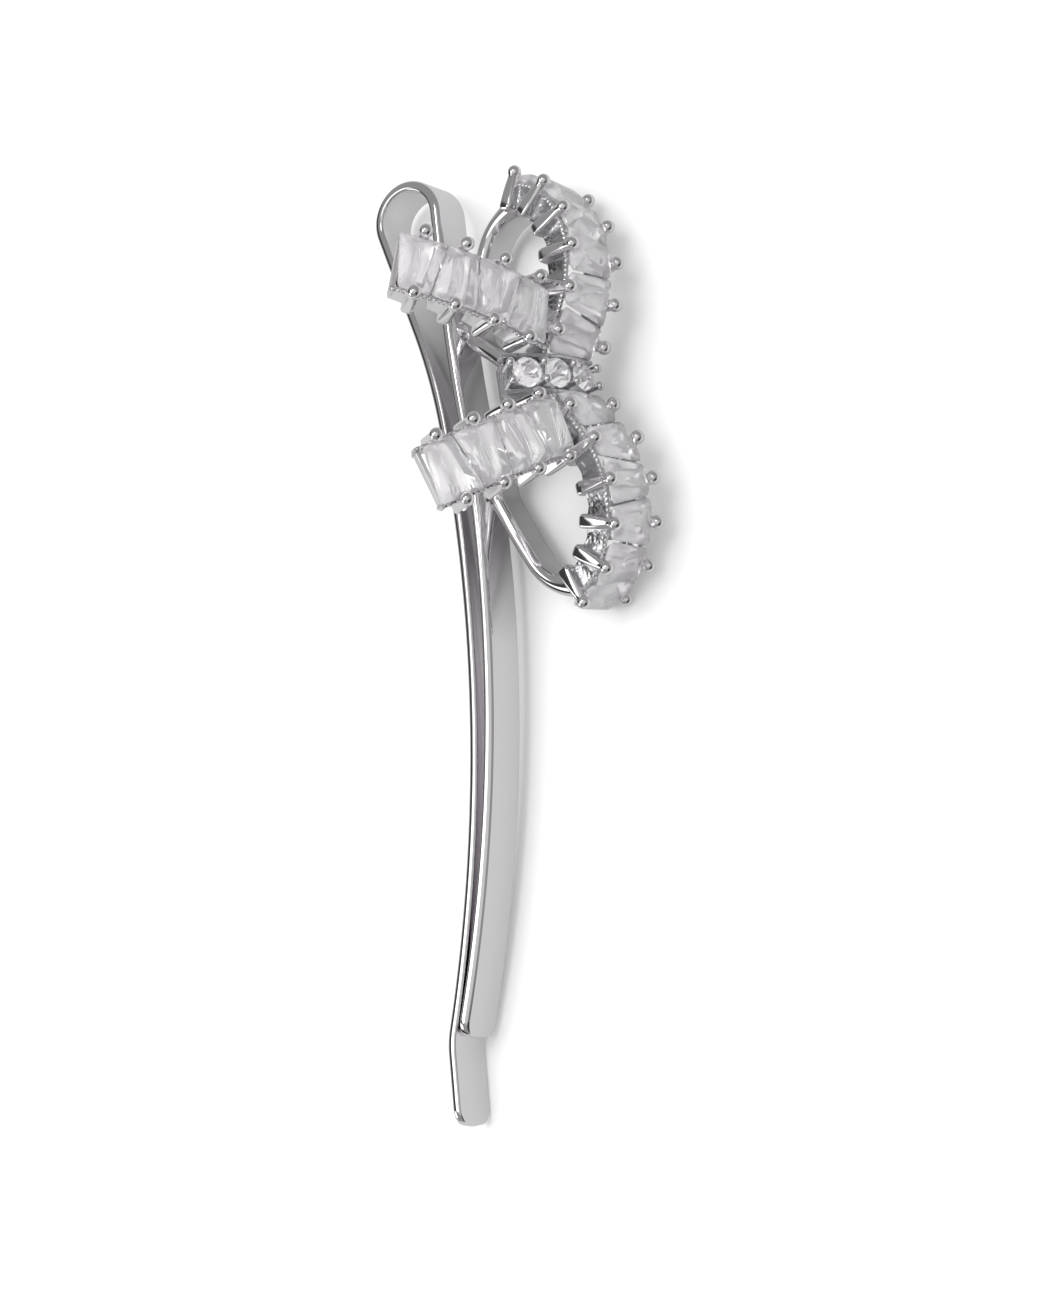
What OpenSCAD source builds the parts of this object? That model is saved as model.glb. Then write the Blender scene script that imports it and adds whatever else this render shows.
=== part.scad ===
// A hair slide: one bent spring strip with a ribbon bow of tapered baguette stones soldered to its front leg.
// While it is built, x points out of the front leg towards the bow, y runs along the legs towards the
// spring loop, and z runs across the strip. The module lying_down then turns it onto its side at rest.

/* [Strip] */
// Width of the bent strip
strip_w = 3.15; // [2.6:0.05:3.6]
// Thickness of the bent strip
strip_t = 0.6; // [0.5:0.05:0.65]
// Corner radius of the two tips
tip_r = 1.1; // [0.6:0.1:1.4]
// Length of strip in the spring loop
spring_len = 7.36; // [7:0.02:7.6]
// Degrees that the spring loop turns through
spring_sweep = 196.1; // [195:0.1:197]

/* [Baguettes] */
// Length of a tapered baguette
stone_len = 3.56; // [3.3:0.02:3.6]
// Width at the wide end
stone_wide = 2.85; // [2.5:0.05:2.95]
// Width at the narrow end
stone_narrow = 1.85; // [1.4:0.05:2]
// Pitch of the stones round a loop
loop_pitch = 2.7; // [2.68:0.01:2.75]
// Pitch of the stones down a tail
tail_pitch = 2.6; // [2.58:0.01:2.7]

/* [Settings] */
// Distance between the two prongs of a stone, centre to centre
prong_span = 4.15; // [4.1:0.01:4.3]
// Diameter of a prong wire
prong_d = 0.78; // [0.7:0.02:0.82]
// Diameter of the ball on a prong
bead_d = 0.88; // [0.84:0.02:0.94]
// How far a prong's foot reaches past its wall
prong_foot = 0.35; // [0.1:0.05:0.4]
// Thickness of a setting wall
wall_t = 0.36; // [0.3:0.02:0.38]
// Depth of a loop's walls below the balls
loop_wall = 2.2; // [2:0.05:2.3]
// Depth of a tail's walls below the balls
tail_wall = 1.5; // [1.4:0.05:1.7]

/* [Bow] */
// Width of the plain band that closes a loop
band_w = 2.4; // [2:0.1:2.8]
// Thickness of the plain band
band_t = 0.95; // [0.8:0.05:1.1]
// Diameter of a round stone of the knot
round_d = 1.9; // [1.7:0.05:1.95]
// Pitch of the round stones
knot_pitch = 2.2; // [2.2:0.02:2.3]

/* [Hidden] */

// How it lies: the turns that lay it down, and where the middle of its base is while it is built
rest_turn = [0, -8.76, 0];
rest_base = [-2.79, -13.53, -2.99];

// The strip's middle line, walked from the front leg's tip round the spring loop to the back leg's tip, and a
// loop's plain band: start, heading, then a row for each bend with its length and its turn to the left
LENGTH = 0;
TURN = 1;
strip_start = [-10.6, -37.57];
strip_heading = -21.5;
strip_bends = [
    [1.5, 0], [37, 23.5], [8.1, -5.2], [5, 0], [spring_len, spring_sweep],
    [7, 0], [6.1, -10], [37.6, -23.7], [1.5, 16.4], [4.3, 0]
];
band_start = [1.2, 12.27];
band_heading = 97.5;
band_bends = [[3.7, 60.5], [4.4, 4], [2.3, 70], [5.3, -17.7]];
bend_sag = 0.01;
tip_room = 1;

// Rows of settings: first station, pitch, the turn from each station to the next, overhang at each end,
// and the depths of the walls' tops and feet below the balls
FIRST = 0;
PITCH = 1;
TURNS = 2;
OVERHANG = 3;
WALL = 4;
loop_row = [[5, 2.08, -31.5], loop_pitch, [13, 19.5, 19.5, 21.5, 30], [2.2, 0.7], [0.75, loop_wall]];
tail_row = [[3.82, 4.74, 13.5], tail_pitch, [8.5, 8.5, 8.5], [1.9, 1.4], [0.75, tail_wall]];
knot_row = [[4.72, -1.22, -2], knot_pitch, [14, 15, 15], [0.35, 0.4], [0.45, 1.5]];
core_row = [knot_row[FIRST], knot_pitch, knot_row[TURNS], [0.1, 0.1], [1.35, 3.4]];

// How the planes of the rows lean
loop_lean = [-7.5, -6.3, 0];
loop_shift = 0.15;
tail_swing = 72;
tail_lean = -8.6;
tail_shift = -3;

// Steps of a cut baguette from its table down to its keel: height above the girdle, inset at the ends
// and inset at the sides
HEIGHT = 0;
END_IN = 1;
SIDE_IN = 2;
baguette_steps = [
    [0.55, 0.62, 0.45], [0.28, 0.24, 0.18], [0.04, 0, 0], [-0.04, 0, 0],
    [-0.36, 0.42, 0.3], [-0.7, 0.78, 0.56], [-1.02, 1.12, 0.78]
];
// Steps of a round stone: height above the girdle and share of its radius
SHARE = 1;
round_steps = [[0.36, 0.56], [0.03, 1], [-0.03, 1], [-0.82, 0.08]];
round_sides = 12;

girdle_drop = 0.45;
seat_play = 0.04;
seat_top = 0.25;
seat_foot = 0.65;
wall_in = 0.275;
wall_mid = prong_span / 2 - wall_in;
bar = 0.36;
bar_lift = 0.1;
seam_turn = 20;
end_wall_t = 0.25;
band_joint_top = 1.75;
tail_end_top = 0.85;

// Knot: small balls, wires and walls
knot_bead_d = 0.54;
knot_wire_d = 0.38;
knot_prong_out = 0.56;
knot_wire_len = 1.75;
knot_wall_mid = 1.12;
knot_wall_t = 0.26;
knot_girdle_drop = 0.32;
core_half_w = 1.2;

solder_d = 1.3;
solder_place = [-3.7, 5.35, 0.3];

// Station k of a row: its place and the angle of its outward direction
function station(row, k) =
    k == 0 ? row[FIRST]
    : let (last = station(row, k - 1), turn = row[TURNS][k - 1], mean = last[2] + turn / 2)
      [last[0] - row[PITCH] * sin(mean), last[1] + row[PITCH] * cos(mean), last[2] + turn];

// Halfway between station k and the next
function halfway(row, k) = (station(row, k) + station(row, k + 1)) / 2;

function shifted(at, up, along) = [
    at[0] + up * cos(at[2]) - along * sin(at[2]),
    at[1] + up * sin(at[2]) + along * cos(at[2])
];

function stations(row) = len(row[TURNS]) + 1;

// A line of points that follows a row at one height
function row_line(row, up) = let (last = stations(row) - 1) concat(
    [shifted(station(row, 0), up, -row[OVERHANG][0])],
    [for (k = [0:last - 1]) each [shifted(station(row, k), up, 0), shifted(halfway(row, k), up, 0)]],
    [shifted(station(row, last), up, 0), shifted(station(row, last), up, row[OVERHANG][1])]
);

function backwards(list) = [for (k = [len(list) - 1:-1:0]) list[k]];

// Walks along bends from a place and heading: a list of places and headings, with chords that leave the arcs
// by no more than bend_sag
function walk(bends, at, k = 0) =
    k == len(bends) ? [at]
    : let (
        bend = bends[k],
        n = max(1, ceil(sqrt(bend[LENGTH] * abs(bend[TURN]) * PI / 180 / 8 / bend_sag))),
        line = [for (s = 0, p = at; s <= n; s = s + 1, p = stepped(p, bend[LENGTH] / n, bend[TURN] / n)) p]
    )
    concat([for (s = [0:n - 1]) line[s]], walk(bends, line[n], k + 1));

// One step of an arc, along its chord
function stepped(at, arc, turn) =
    let (half = turn / 2, chord = half == 0 ? arc : arc * sin(half) / (half * PI / 180))
    [at[0] - chord * sin(at[2] + half), at[1] + chord * cos(at[2] + half), at[2] + turn];

// Four corners of a tapered stone at one step
function baguette_ring(step) = [
    for (corner = [[1, 1], [-1, 1], [-1, -1], [1, -1]])
        let (
            z = corner[1] * (stone_len / 2 - step[END_IN]),
            half_w = (stone_wide + stone_narrow) / 4 + (stone_wide - stone_narrow) / 2 * z / stone_len
        )
        [step[HEIGHT], corner[0] * (half_w - step[SIDE_IN]), z]
];

function round_ring(step) = [
    for (s = [0:round_sides - 1])
        let (a = 360 * (s + 0.5) / round_sides, r = step[SHARE] * round_d / 2)
        [step[HEIGHT], r * cos(a), r * sin(a)]
];

// Joins rings of equally many points into one closed solid
module faceted(rings) {
    n = len(rings[0]);
    last = len(rings) - 1;
    polyhedron(
        points = [for (ring = rings) each ring],
        faces = concat(
            [[for (s = [n - 1:-1:0]) s]],
            [for (k = [0:last - 1], s = [0:n - 1])
                [k * n + s, k * n + (s + 1) % n, (k + 1) * n + (s + 1) % n, (k + 1) * n + s]],
            [[for (s = [0:n - 1]) last * n + s]]
        )
    );
}

// Puts its children at a station: x outwards, y along the row, z along the stone
module at_station(at) {
    translate([at[0], at[1], 0])
        rotate([0, 0, at[2]])
            children();
}

module on_side(side) {
    mirror([0, side > 0 ? 0 : 1, 0])
        children();
}

module in_loop(side) {
    on_side(side)
        rotate(loop_lean)
            translate([0, 0, loop_shift])
                children();
}

module in_tail(side) {
    on_side(side)
        rotate([tail_swing, 0, 0])
            rotate([0, tail_lean, 0])
                translate([0, 0, tail_shift])
                    children();
}

module in_knot() {
    rotate([90, 0, 0])
        children();
}

module lying_down() {
    rotate(rest_turn)
        translate(-rest_base)
            children();
}

// Flat metal of one width and thickness along a line of places and headings
module ribbon(line, width, thickness) {
    linear_extrude(width, center = true)
        polygon(concat(
            [for (at = line) shifted(at, thickness / 2, 0)],
            backwards([for (at = line) shifted(at, -thickness / 2, 0)])
        ));
}

// What rounding a tip takes off its two corners; the tip is at the origin and the strip lies towards -y
module tip_corners() {
    for (side = [-1, 1])
        translate([0, -tip_r, side * (strip_w / 2 - tip_r)])
            mirror([0, 0, side > 0 ? 0 : 1])
                difference() {
                    translate([-tip_room, 0, 0])
                        cube([2 * tip_room, tip_r + tip_room, tip_r + tip_room]);
                    rotate([0, 90, 0])
                        cylinder(r = tip_r, h = 3 * tip_room, center = true, $fn = 48);
                }
}

module bent_strip() {
    line = walk(strip_bends, [strip_start[0], strip_start[1], strip_heading]);
    difference() {
        ribbon(line, strip_w, strip_t);
        at_station(line[0] + [0, 0, 180])
            tip_corners();
        at_station(line[len(line) - 1])
            tip_corners();
    }
}

// A prong wire with its ball, outwards along +x
module prong(ball_d, wire_d, length) {
    sphere(d = ball_d, $fn = 32);
    translate([-length, 0, 0])
        rotate([0, 90, 0])
            rotate(seam_turn)
                cylinder(d = wire_d, h = length, $fn = 24);
}

// A wall that follows a row, in the plane of the row
module row_wall(row, thickness) {
    linear_extrude(thickness, center = true)
        polygon(concat(row_line(row, -row[WALL][0]), backwards(row_line(row, -row[WALL][1]))));
}

// Two long walls, the bars between them and a prong at both ends of each stone
module setting_row(row) {
    for (side = [-1, 1]) {
        translate([0, 0, side * wall_mid])
            row_wall(row, wall_t);
        for (k = [0:stations(row) - 1])
            at_station(station(row, k))
                translate([0, 0, side * prong_span / 2])
                    prong(bead_d, prong_d, row[WALL][1] + prong_foot);
    }
    for (k = [0:stations(row) - 2])
        at_station(halfway(row, k))
            translate([bar_lift + bar / 2 - row[WALL][1], 0, 0])
                cube([bar, bar, 2 * wall_mid], center = true);
}

// The slots that hold the girdles of a row of stones; the first is as wide as its stone, because the prongs
// of the row below reach it
module seats(row) {
    for (k = [0:stations(row) - 1])
        at_station(station(row, k))
            translate([-(seat_top + seat_foot) / 2, 0, 0])
                cube([
                    seat_foot - seat_top,
                    (k == 0 ? stone_wide : 2 * prong_d) + 2 * seat_play,
                    stone_len + 2 * seat_play
                ], center = true);
}

// Cross wall at the end of a row of settings, from a depth below the balls to the walls' feet
module end_wall(row, top) {
    last = stations(row) - 1;
    at_station(station(row, last))
        translate([-(top + row[WALL][1]) / 2, row[OVERHANG][1] - end_wall_t / 2, 0])
            cube([row[WALL][1] - top, end_wall_t, 2 * wall_mid], center = true);
}

module plain_band() {
    ribbon(walk(band_bends, [band_start[0], band_start[1], band_heading]), band_w, band_t);
}

module knot() {
    for (side = [-1, 1]) {
        translate([0, 0, side * knot_wall_mid])
            row_wall(knot_row, knot_wall_t);
        for (k = [0:stations(knot_row) - 1])
            at_station(station(knot_row, k))
                translate([0, 0, side * knot_prong_out])
                    prong(knot_bead_d, knot_wire_d, knot_wire_len);
    }
    row_wall(core_row, 2 * core_half_w);
}

// The bow's metal before the seats are cut
module bow() {
    for (side = [-1, 1]) {
        in_loop(side) {
            setting_row(loop_row);
            end_wall(loop_row, band_joint_top);
            plain_band();
        }
        in_tail(side) {
            setting_row(tail_row);
            end_wall(tail_row, tail_end_top);
        }
    }
    in_knot()
        knot();
}

module frame() {
    color("silver")
        lying_down() {
            bent_strip();
            difference() {
                bow();
                for (side = [-1, 1]) {
                    in_loop(side)
                        seats(loop_row);
                    in_tail(side)
                        seats(tail_row);
                }
            }
            for (side = [-1, 1])
                on_side(side)
                    translate(solder_place)
                        sphere(d = solder_d, $fn = 32);
        }
}

// A tapered baguette at its station, wide end towards +z or -z
module baguette(row, k, wide) {
    color("lavender")
        at_station(station(row, k))
            translate([-girdle_drop, 0, 0])
                mirror([0, 0, wide > 0 ? 0 : 1])
                    faceted([for (step = baguette_steps) baguette_ring(step)]);
}

// Stones are counted from the bow's free ends towards the knot, and their tapers alternate
module loop_stone(side, number) {
    lying_down()
        in_loop(side)
            baguette(loop_row, stations(loop_row) - number, number % 2 == 0 ? 1 : -1);
}

module tail_stone(side, number) {
    lying_down()
        in_tail(side)
            baguette(tail_row, stations(tail_row) - number, number % 2 == 0 ? 1 : -1);
}

module knot_stone(number) {
    color("lavender")
        lying_down()
            in_knot()
                at_station(halfway(knot_row, stations(knot_row) - 1 - number))
                    translate([-knot_girdle_drop, 0, 0])
                        faceted([for (step = round_steps) round_ring(step)]);
}

frame();
for (k = [1:6]) {
    loop_stone(1, k);
    loop_stone(-1, k);
}
for (k = [1:4]) {
    tail_stone(1, k);
    tail_stone(-1, k);
}
for (k = [1:3])
    knot_stone(k);
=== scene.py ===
# %% [markdown]
# # A hair slide with a bow of baguette stones
#
# The real slide is a strip of springy metal, bent back on itself so that its two legs hold a lock of
# hair. A bow is soldered to its front leg: two loops and two tails of tapered stones in prong settings,
# and a knot of three round stones. All the metal is plated, so it has hardly a colour of its own and
# shows the room around it. The looks come from three things: soft edges that catch a thin line of light,
# cut stones with flat facets, and a room that has both light and dark in it.
#
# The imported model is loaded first. It fixes every size and place, and it is never moved. Each new piece
# stands for solids of that model and keeps to their sizes.

import bmesh
import bpy
import numpy as np
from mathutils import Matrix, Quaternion, Vector


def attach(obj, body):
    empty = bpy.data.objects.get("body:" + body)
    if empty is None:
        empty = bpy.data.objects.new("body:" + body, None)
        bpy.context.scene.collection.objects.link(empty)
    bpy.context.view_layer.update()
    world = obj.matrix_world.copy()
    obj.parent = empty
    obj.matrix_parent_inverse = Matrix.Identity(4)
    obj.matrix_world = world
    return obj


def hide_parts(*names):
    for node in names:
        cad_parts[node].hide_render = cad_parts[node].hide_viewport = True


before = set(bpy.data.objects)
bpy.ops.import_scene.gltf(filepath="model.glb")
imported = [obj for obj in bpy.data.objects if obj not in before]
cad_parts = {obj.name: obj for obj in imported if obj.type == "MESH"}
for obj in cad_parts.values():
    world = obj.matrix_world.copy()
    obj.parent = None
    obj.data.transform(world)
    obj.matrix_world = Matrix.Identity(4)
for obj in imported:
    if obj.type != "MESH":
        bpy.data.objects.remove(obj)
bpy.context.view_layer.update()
print("solids in the frame:", len(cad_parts))

# %% [markdown]
# The maker thinks of the slide while its strip stands on edge: x points out of the front leg towards the
# bow, y runs along the legs towards the spring loop, and z runs across the strip, in millimetres. At rest
# the slide lies on its side. So every point is worked out in the maker's frame first, where the sizes are
# round numbers, and is laid down last. The turn about y and the middle of the base are the same as in the
# construction.

# %% The maker's frame and the rest
MM = 0.001
REST_TURN = -8.76
REST_BASE = np.array([-2.79, -13.53, -2.99])


def turn_about(axis, degrees):
    """Turning matrix about x, y or z: the other two axes turn into each other by cosine and sine."""
    c, s = np.cos(np.radians(degrees)), np.sin(np.radians(degrees))
    i, j = {"x": (1, 2), "y": (2, 0), "z": (0, 1)}[axis]
    matrix = np.eye(3)
    matrix[i, i] = matrix[j, j] = c
    matrix[i, j], matrix[j, i] = -s, s
    return matrix


REST = turn_about("y", REST_TURN)


def laid_down(points):
    """Points of the maker's frame, in millimetres, at their places at rest, in metres."""
    return (points - REST_BASE) @ REST.T * MM


print("the slide is turned by", REST_TURN, "degrees about y to lie down")

# %% [markdown]
# Every metal part here is a ring of points carried along a line, and every stone is a stack of rings.
# Neighbouring rings are joined by four-sided faces, and the first and last ring are drawn together at
# their middles, so that each shape is closed. Blender's own curves could carry a profile too, but whole
# arrays let the profile change on its way, as the edge of a stamped tip or the ball of a prong needs.
# Where the surface turns by more than a set angle, it keeps a sharp edge.

# %% From rings of points to a mesh
SHARP_ANGLE = np.radians(38)
# In metres: far less than any detail, and more than the rounding of a coordinate
WELD = 2e-8


def closed_grid(rings):
    """Points and faces of one shape: ring k is joined to ring k + 1, and the ends close on their middles."""
    ends = np.repeat(rings[[0, -1]].mean(axis=1, keepdims=True), rings.shape[1], axis=1)
    rings = np.concatenate([ends[:1], rings, ends[1:]])
    index = np.arange(rings.shape[0] * rings.shape[1]).reshape(rings.shape[:2])
    after = np.roll(index, -1, axis=1)
    faces = np.stack([index[:-1], after[:-1], after[1:], index[1:]], axis=-1)
    return rings.reshape(-1, 3), faces.reshape(-1, 4)


def joined(shapes):
    """All shapes of a piece in one list of points and one of faces. The face numbers of a shape start where
    the points of the shapes before it end."""
    points, faces, start = [], [], 0
    for rings in shapes:
        shape_points, shape_faces = closed_grid(rings)
        points.append(shape_points)
        faces.append(shape_faces + start)
        start += len(shape_points)
    return np.concatenate(points), np.concatenate(faces)


def mesh_of_quads(name, points, faces):
    """The arrays go into the mesh whole. Then points that coincide become one, and faces turn outwards."""
    mesh = bpy.data.meshes.new(name)
    mesh.vertices.add(len(points))
    mesh.vertices.foreach_set("co", points.astype(np.float32).ravel())
    mesh.loops.add(faces.size)
    mesh.loops.foreach_set("vertex_index", faces.astype(np.int32).ravel())
    mesh.polygons.add(len(faces))
    mesh.polygons.foreach_set("loop_start", np.arange(0, faces.size, 4, dtype=np.int32))
    mesh.update(calc_edges=True)
    work = bmesh.new()
    work.from_mesh(mesh)
    bmesh.ops.remove_doubles(work, verts=work.verts, dist=WELD)
    bmesh.ops.recalc_face_normals(work, faces=work.faces)
    work.to_mesh(mesh)
    work.free()
    return mesh


print("edges sharper than", round(float(np.degrees(SHARP_ANGLE))), "degrees stay sharp")

# %% [markdown]
# A finished piece rides on the slide's one body and replaces the CAD solid that it stands for. Its object
# stays at the origin, unturned, because its place is in its mesh.


def make_piece(name, shapes, stands_for, smooth=True):
    """A piece of closed shapes. Metal is shaded smooth between its sharp edges, and facets stay flat."""
    points, faces = joined(shapes)
    mesh = mesh_of_quads(name, laid_down(points), faces)
    if smooth:
        mesh.polygons.foreach_set("use_smooth", np.ones(len(mesh.polygons), bool))
        mesh.set_sharp_from_angle(angle=SHARP_ANGLE)
    piece = bpy.data.objects.new(name, mesh)
    bpy.context.scene.collection.objects.link(piece)
    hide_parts(stands_for)
    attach(piece, "root")
    print(name, "has", len(mesh.polygons), "faces")
    return piece


pieces = {"polished": [], "cast": [], "satin": [], "stone": [], "round": []}
print("finishes to come:", ", ".join(pieces))

# %% [markdown]
# Two kinds of line carry the rings. The strip and the plain bands follow bends, as they do in the maker's
# bending jig: each bend has a length and an angle that it turns through. The rows of settings follow
# their stones, and come later.

# %% Lines of bends
STEPS_PER_BEND = 40


def walk(bends, start, heading):
    """Walks along arcs: places, headings in radians and lengths so far. Within an arc the heading grows
    evenly. The chord from the arc's start has the length 2 * radius * sin(half the turn so far), which is
    length * sin(half) / half, and it lies along the heading halfway."""
    place, angle, done = np.array(start, float), np.radians(heading), 0.0
    places, headings, lengths = [], [], []
    for length, degrees in bends:
        s = np.linspace(0, length, STEPS_PER_BEND)
        turned = np.radians(degrees) * s / length
        chord = s * np.sinc(turned / 2 / np.pi)
        mid = angle + turned / 2
        arc = place + np.stack([-chord * np.sin(mid), chord * np.cos(mid)], axis=-1)
        places.append(arc[:-1])
        headings.append(angle + turned[:-1])
        lengths.append(done + s[:-1])
        place, angle, done = arc[-1], angle + turned[-1], done + length
    return (
        np.concatenate(places + [place[None]]),
        np.concatenate(headings + [[angle]]),
        np.concatenate(lengths + [[done]]),
    )


half_circle = walk([(np.pi, 180)], (0, 0), 0)[0]
print("a half circle of radius 1 ends this far to the side:", round(float(-half_circle[-1, 0]), 3))

# %% [markdown]
# Nearly all sections are a rectangle with round corners. Stamped and tumbled metal never has a knife
# edge, and the round corner is what shows as a thin bright line in a picture. A bevel on a sharp mesh
# could give it as well, but here the corner's radius can change along the piece.

# %% Sections
CORNER_STEPS = 9


def rounded_section(half_u, half_v, radius, back_share=1.0):
    """Rings of a rectangle with round corners, one for each row of sizes: in each corner, centre + radius *
    (cosine, sine) of an angle that runs through a quarter turn. The corners at -u have back_share of the
    radius."""
    quarter = np.linspace(0, np.pi / 2, CORNER_STEPS)
    angle = np.concatenate([quarter + k * np.pi / 2 for k in range(4)])
    side_u = np.repeat([1, -1, -1, 1], CORNER_STEPS)
    side_v = np.repeat([1, 1, -1, -1], CORNER_STEPS)
    sizes = np.broadcast_arrays(half_u, half_v, radius)
    half_u, half_v, radius = (np.reshape(size, (-1, 1)) for size in sizes)
    radius = radius * np.where(side_u > 0, 1, back_share)
    u = side_u * (half_u - radius) + radius * np.cos(angle)
    v = side_v * (half_v - radius) + radius * np.sin(angle)
    return u, v


def ribbon(line, half_t, half_w, radius, back_share=1.0, shift=0.0):
    """Carries a rounded section along a flat line: u is measured along the line's right-hand normal, and v
    across the ribbon, along z. shift moves the section along u."""
    places, headings, _ = line
    u, v = rounded_section(half_t, half_w, radius, back_share)
    u = u + shift
    x = places[:, :1] + u * np.cos(headings)[:, None]
    y = places[:, 1:] + u * np.sin(headings)[:, None]
    return np.stack([x, y, np.broadcast_to(v, x.shape)], axis=-1)


print("points in a rounded section:", 4 * CORNER_STEPS)

# %% [markdown]
# The strip is stamped flat, its two tips are rounded, its edges are tumbled soft and it is bent last. So
# it is one rounded section carried along its bends. The edges of its outer face are the rounder ones, and
# that face stands a few hundredths of a millimetre proud. Near a tip the half width falls along a quarter
# circle, and in the last fraction of a millimetre the thickness falls too, which rounds the tip's own
# edge.

# %% The spring strip
STRIP_W = 3.15
STRIP_T = 0.6
STRIP_PROUD = 0.06
STRIP_EDGE = 0.36
INNER_SHARE = 0.45
TIP_R = 1.1
TIP_EDGE_SHARE = 0.8
STRIP_START = (-10.6, -37.57)
STRIP_HEADING = -21.5
# Length in millimetres and turn in degrees of each bend, from the back leg's tip to the front leg's
STRIP_BENDS = [
    (1.5, 0), (37, 23.5), (8.1, -5.2), (5, 0), (7.36, 196.1),
    (7, 0), (6.1, -10), (37.6, -23.7), (1.5, 16.4), (4.3, 0),
]


def quarter_fall(depth, radius):
    """How much a quarter circle of that radius takes off at a depth behind the tip."""
    inside = np.clip(radius - depth, 0, radius)
    return radius - np.sqrt(radius**2 - inside**2)


def strip_rings():
    """The rounded section along the bends. Its half width is less the fall of the tip's round corner, and
    both half sizes are less the fall of the tumbled edge."""
    line = walk(STRIP_BENDS, STRIP_START, STRIP_HEADING)
    depth = np.minimum(line[2], line[2][-1] - line[2])
    half_t = (STRIP_T + STRIP_PROUD) / 2
    edge = quarter_fall(depth, TIP_EDGE_SHARE * half_t)
    half_w = STRIP_W / 2 - quarter_fall(depth, TIP_R) - edge
    radius = STRIP_EDGE * (1 - edge / half_t)
    return ribbon(line, half_t - edge, half_w, radius, INNER_SHARE, STRIP_PROUD / 2)


pieces["polished"].append(make_piece("spring_strip", [strip_rings()], "frame"))
print("length of the flat strip in mm:", round(sum(length for length, _ in STRIP_BENDS), 2))

# %% [markdown]
# Each half of the bow is the mirror image of the other, so only one half is worked out. A Mirror modifier
# could make the other one, but every stone has a name of its own, so the points are mirrored instead. A
# loop leans a little against the strip, and a tail swings right over it. These are the same turns as in
# the construction: a local point has x out of the bow, y along the row and z along a stone.

# %% Places of the bow's planes
LOOP_LEAN = (-7.5, -6.3)
LOOP_SHIFT = 0.15
TAIL_SWING = 72
TAIL_LEAN = -8.6
TAIL_SHIFT = -3
KNOT_TURN = 90
SIDES = {"upper": 1, "lower": -1}


def in_loop(points, side):
    """Shift along z, turn about x and then y, and mirror y for the lower half."""
    turn = turn_about("y", LOOP_LEAN[1]) @ turn_about("x", LOOP_LEAN[0])
    return (points + [0, 0, LOOP_SHIFT]) @ turn.T * [1, side, 1]


def in_tail(points, side):
    """Shift along z, turn about y and then x, and mirror y for the lower half."""
    turn = turn_about("x", TAIL_SWING) @ turn_about("y", TAIL_LEAN)
    return (points + [0, 0, TAIL_SHIFT]) @ turn.T * [1, side, 1]


def in_knot(points):
    """A quarter turn about x, so that the row of round stones runs across the strip."""
    return points @ turn_about("x", KNOT_TURN).T


print("a tail's plane is turned", TAIL_SWING - LOOP_LEAN[0], "degrees about x from its loop's plane")

# %% [markdown]
# A row of settings has a station for each stone, and each station has a place and a direction that points
# out of the bow. From one station to the next the row turns by an angle of its own. A single circle would
# be simpler, but the real loops turn more tightly towards their free end.

# %% Rows of settings
PRONG_SPAN = 4.15
# first: x, y and outward angle of the first station. turns: degrees from each station to the next.
# over: how far the row runs on past its two ends. top and foot: the depths of the walls' two edges.
LOOP = {
    "first": (5, 2.08, -31.5), "pitch": 2.7, "turns": (13, 19.5, 19.5, 21.5, 30),
    "over": (2.2, 0.7), "top": 0.75, "foot": 2.2, "place": in_loop,
}
TAIL = {
    "first": (3.82, 4.74, 13.5), "pitch": 2.6, "turns": (8.5, 8.5, 8.5),
    "over": (1.9, 1.4), "top": 0.75, "foot": 1.5, "place": in_tail,
}
KNOT = {
    "first": (4.72, -1.22, -2), "pitch": 2.2, "turns": (14, 15, 15),
    "over": (0.35, 0.4), "top": 0.45, "foot": 1.5,
}


def stations(row):
    """Places and angles of a row's stations: each step goes one pitch along the mean of both directions."""
    places, angles = [np.array(row["first"][:2])], [row["first"][2]]
    for turn in row["turns"]:
        mean = np.radians(angles[-1] + turn / 2)
        places.append(places[-1] + row["pitch"] * np.array([-np.sin(mean), np.cos(mean)]))
        angles.append(angles[-1] + turn)
    return np.array(places), np.radians(angles)


for title, row in (("loop", LOOP), ("tail", TAIL), ("knot", KNOT)):
    print(title, "row turns through", round(float(np.degrees(np.ptp(stations(row)[1]))), 1), "degrees")

# %% [markdown]
# Walls and rims run on between the stations. There the line is a Hermite curve, which starts and ends
# along the row's own direction at both stations, so it goes smoothly round the bow. Straight pieces would
# show as kinks in the mirror of the metal.

# %% The line through the stations
def along_row(row, steps):
    """The row's line with its overhangs, as places, outward angles and the station number, a real number:
    Hermite curves between stations, and straight ends."""
    places, angles = stations(row)
    last = len(angles) - 1
    number = np.linspace(-row["over"][0] / row["pitch"], last + row["over"][1] / row["pitch"], steps)
    k = np.clip(np.floor(number).astype(int), 0, last - 1)
    t = np.clip(number - k, 0, 1)[:, None]
    along = row["pitch"] * np.stack([-np.sin(angles), np.cos(angles)], axis=-1)
    curve = (
        places[k] * (1 + 2 * t) * (1 - t) ** 2 + places[k + 1] * (3 - 2 * t) * t**2
        + along[k] * t * (1 - t) ** 2 - along[k + 1] * (1 - t) * t**2
    )
    past = (number - np.clip(number, 0, last))[:, None]
    curve = curve + past * np.where(past < 0, along[:1], along[-1:])
    return curve, np.interp(number, np.arange(last + 1), angles), number


LINE_SAMPLES = 200
tail_steps = np.diff(along_row(TAIL, LINE_SAMPLES)[0], axis=0)
print("a tail's line is", round(float(np.linalg.norm(tail_steps, axis=1).sum()), 2), "mm long")

# %% [markdown]
# A point of a setting is easiest to give in the directions of its station: outwards, along the row and
# along the stone. One small turn then brings it into the plane of the row.

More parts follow.
